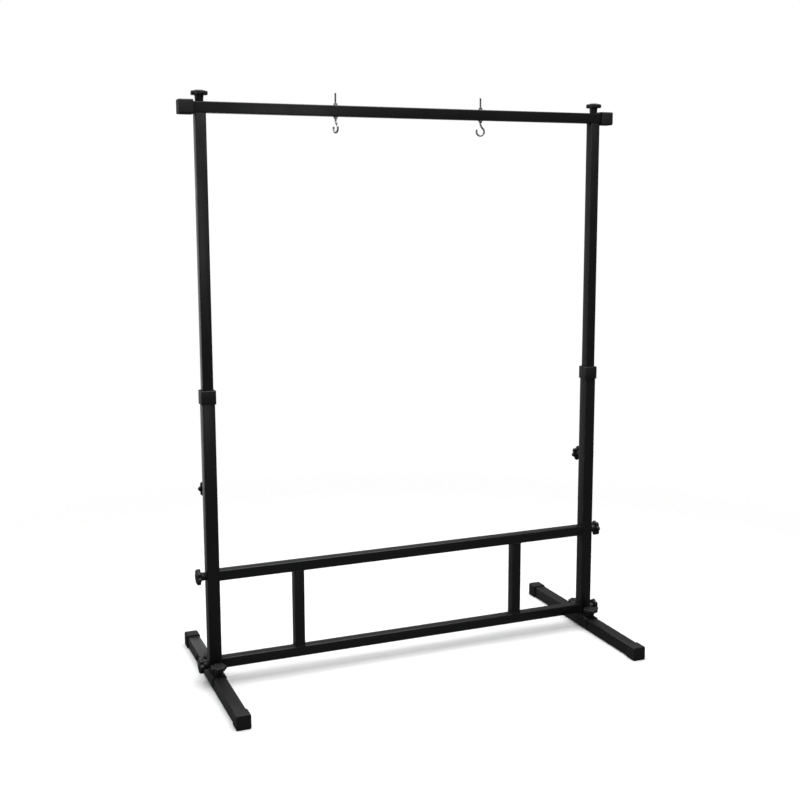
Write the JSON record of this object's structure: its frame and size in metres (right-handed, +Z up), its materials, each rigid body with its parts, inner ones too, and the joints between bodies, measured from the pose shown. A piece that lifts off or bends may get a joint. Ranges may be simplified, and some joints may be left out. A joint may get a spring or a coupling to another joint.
{
  "type": "hanging stand",
  "caption": "Knock-down hanging stand of black square tube: feet, telescopic uprights, a ladder frame between them and a crossbar with swivelling hooks.",
  "frame": {"origin": "on the floor, midway between the feet", "axes": "+Z up, +X along the crossbar, +Y along the feet towards the side that carries the height lock knobs"},
  "size_m": [1.425, 0.7, 1.78],
  "materials": {
    "powder_coated_steel": "satin black powder coat on square steel tube and plate",
    "black_plastic": "moulded black nylon, fine grain",
    "black_rubber": "moulded black rubber, dull",
    "zinc_plated_steel": "bright zinc plate"
  },
  "bodies": {
    "base": {"foot_tube_left": "powder_coated_steel", "foot_tube_right": "powder_coated_steel", "foot_cap_left_front": "black_rubber", "foot_cap_left_rear": "black_rubber", "foot_cap_right_front": "black_rubber", "foot_cap_right_rear": "black_rubber", "foot_nut_plate_left": "zinc_plated_steel", "foot_nut_plate_right": "zinc_plated_steel", "foot_button_left": "black_rubber", "foot_button_right": "black_rubber", "saddle_left": "powder_coated_steel", "saddle_right": "powder_coated_steel", "lower_upright_left": "powder_coated_steel", "lower_upright_right": "powder_coated_steel", "lock_nut_left": "powder_coated_steel", "lock_nut_right": "powder_coated_steel", "collar_left": "black_plastic", "collar_right": "black_plastic", "upper_rail": "powder_coated_steel", "lower_rail": "powder_coated_steel", "strut_left": "powder_coated_steel", "strut_right": "powder_coated_steel", "upper_rail_plug_left": "zinc_plated_steel", "upper_rail_plug_right": "zinc_plated_steel", "lower_rail_plug_left": "zinc_plated_steel", "lower_rail_plug_right": "zinc_plated_steel"},
    "mast": {"upper_upright_left": "powder_coated_steel", "upper_upright_right": "powder_coated_steel", "top_plug_left": "zinc_plated_steel", "top_plug_right": "zinc_plated_steel", "guide_plug_left": "black_plastic", "guide_plug_right": "black_plastic", "crossbar": "powder_coated_steel", "crossbar_cap_left": "black_rubber", "crossbar_cap_right": "black_rubber", "hook_washer_left_upper": "zinc_plated_steel", "hook_washer_left_lower": "zinc_plated_steel", "hook_washer_right_upper": "zinc_plated_steel", "hook_washer_right_lower": "zinc_plated_steel"},
    "swivel_hook_left": {"hook_left": "zinc_plated_steel", "hook_nut_left_upper": "zinc_plated_steel", "hook_nut_left_lower": "zinc_plated_steel"},
    "swivel_hook_right": {"hook_right": "zinc_plated_steel", "hook_nut_right_upper": "zinc_plated_steel", "hook_nut_right_lower": "zinc_plated_steel"},
    "clamp_pad_left": {"lock_pad_left": "black_plastic"},
    "clamp_pad_right": {"lock_pad_right": "black_plastic"},
    "height_lock_left": {"lock_knob_left": "black_plastic"},
    "height_lock_right": {"lock_knob_right": "black_plastic"},
    "crossbar_screw_left": {"crossbar_knob_left": "black_plastic"},
    "crossbar_screw_right": {"crossbar_knob_right": "black_plastic"},
    "upper_rail_screw_left": {"upper_rail_knob_left": "black_plastic"},
    "upper_rail_screw_right": {"upper_rail_knob_right": "black_plastic"},
    "lower_rail_screw_left": {"lower_rail_knob_left": "black_plastic"},
    "lower_rail_screw_right": {"lower_rail_knob_right": "black_plastic"},
    "foot_screw_left_front": {"foot_knob_left_front": "black_plastic"},
    "foot_screw_left_rear": {"foot_knob_left_rear": "black_plastic"},
    "foot_screw_right_front": {"foot_knob_right_front": "black_plastic"},
    "foot_screw_right_rear": {"foot_knob_right_rear": "black_plastic"}
  },
  "joints": [
    {"name": "height", "type": "slide", "parent": "base", "child": "mast", "axis": [0, 0, 1], "range_m": [-0.14, 0.07]},
    {"name": "hook_left_swivel", "type": "hinge", "parent": "mast", "child": "swivel_hook_left", "pos_m": [-0.24, 0, 1.6765], "axis": [0, 0, 1], "continuous": true},
    {"name": "hook_right_swivel", "type": "hinge", "parent": "mast", "child": "swivel_hook_right", "pos_m": [0.24, 0, 1.6765], "axis": [0, 0, 1], "continuous": true},
    {"name": "lock_left_travel", "type": "slide", "parent": "base", "child": "clamp_pad_left", "axis": [0, 1, 0], "range_m": [0, 0.0019]},
    {"name": "lock_left_turn", "type": "hinge", "parent": "clamp_pad_left", "child": "height_lock_left", "pos_m": [-0.65, 0.0268, 0.601], "axis": [0, 1, 0], "range_deg": [0, 540]},
    {"name": "lock_right_travel", "type": "slide", "parent": "base", "child": "clamp_pad_right", "axis": [0, 1, 0], "range_m": [0, 0.0019]},
    {"name": "lock_right_turn", "type": "hinge", "parent": "clamp_pad_right", "child": "height_lock_right", "pos_m": [0.65, 0.0268, 0.601], "axis": [0, 1, 0], "range_deg": [0, 540]},
    {"name": "crossbar_left_turn", "type": "hinge", "parent": "mast", "child": "crossbar_screw_left", "pos_m": [-0.65, 0, 1.7433], "axis": [0, 0, 1], "range_deg": [0, 1080]},
    {"name": "crossbar_right_turn", "type": "hinge", "parent": "mast", "child": "crossbar_screw_right", "pos_m": [0.65, 0, 1.7433], "axis": [0, 0, 1], "range_deg": [0, 1080]},
    {"name": "upper_rail_left_turn", "type": "hinge", "parent": "base", "child": "upper_rail_screw_left", "pos_m": [-0.6693, 0, 0.3425], "axis": [-1, 0, 0], "range_deg": [0, 1080]},
    {"name": "upper_rail_right_turn", "type": "hinge", "parent": "base", "child": "upper_rail_screw_right", "pos_m": [0.6693, 0, 0.3425], "axis": [1, 0, 0], "range_deg": [0, 1080]},
    {"name": "lower_rail_left_turn", "type": "hinge", "parent": "base", "child": "lower_rail_screw_left", "pos_m": [-0.6693, 0, 0.062], "axis": [-1, 0, 0], "range_deg": [0, 1080]},
    {"name": "lower_rail_right_turn", "type": "hinge", "parent": "base", "child": "lower_rail_screw_right", "pos_m": [0.6693, 0, 0.062], "axis": [1, 0, 0], "range_deg": [0, 1080]},
    {"name": "foot_left_front_turn", "type": "hinge", "parent": "base", "child": "foot_screw_left_front", "pos_m": [-0.65, -0.05, 0.0443], "axis": [0, 0, 1], "range_deg": [0, 1080]},
    {"name": "foot_left_rear_turn", "type": "hinge", "parent": "base", "child": "foot_screw_left_rear", "pos_m": [-0.65, 0.05, 0.0443], "axis": [0, 0, 1], "range_deg": [0, 1080]},
    {"name": "foot_right_front_turn", "type": "hinge", "parent": "base", "child": "foot_screw_right_front", "pos_m": [0.65, -0.05, 0.0443], "axis": [0, 0, 1], "range_deg": [0, 1080]},
    {"name": "foot_right_rear_turn", "type": "hinge", "parent": "base", "child": "foot_screw_right_rear", "pos_m": [0.65, 0.05, 0.0443], "axis": [0, 0, 1], "range_deg": [0, 1080]}
  ],
  "couplings": [
    {"joint": "lock_left_travel", "follows": "lock_left_turn", "m_per_rad": 0.00019894},
    {"joint": "lock_right_travel", "follows": "lock_right_turn", "m_per_rad": 0.00019894}
  ]
}
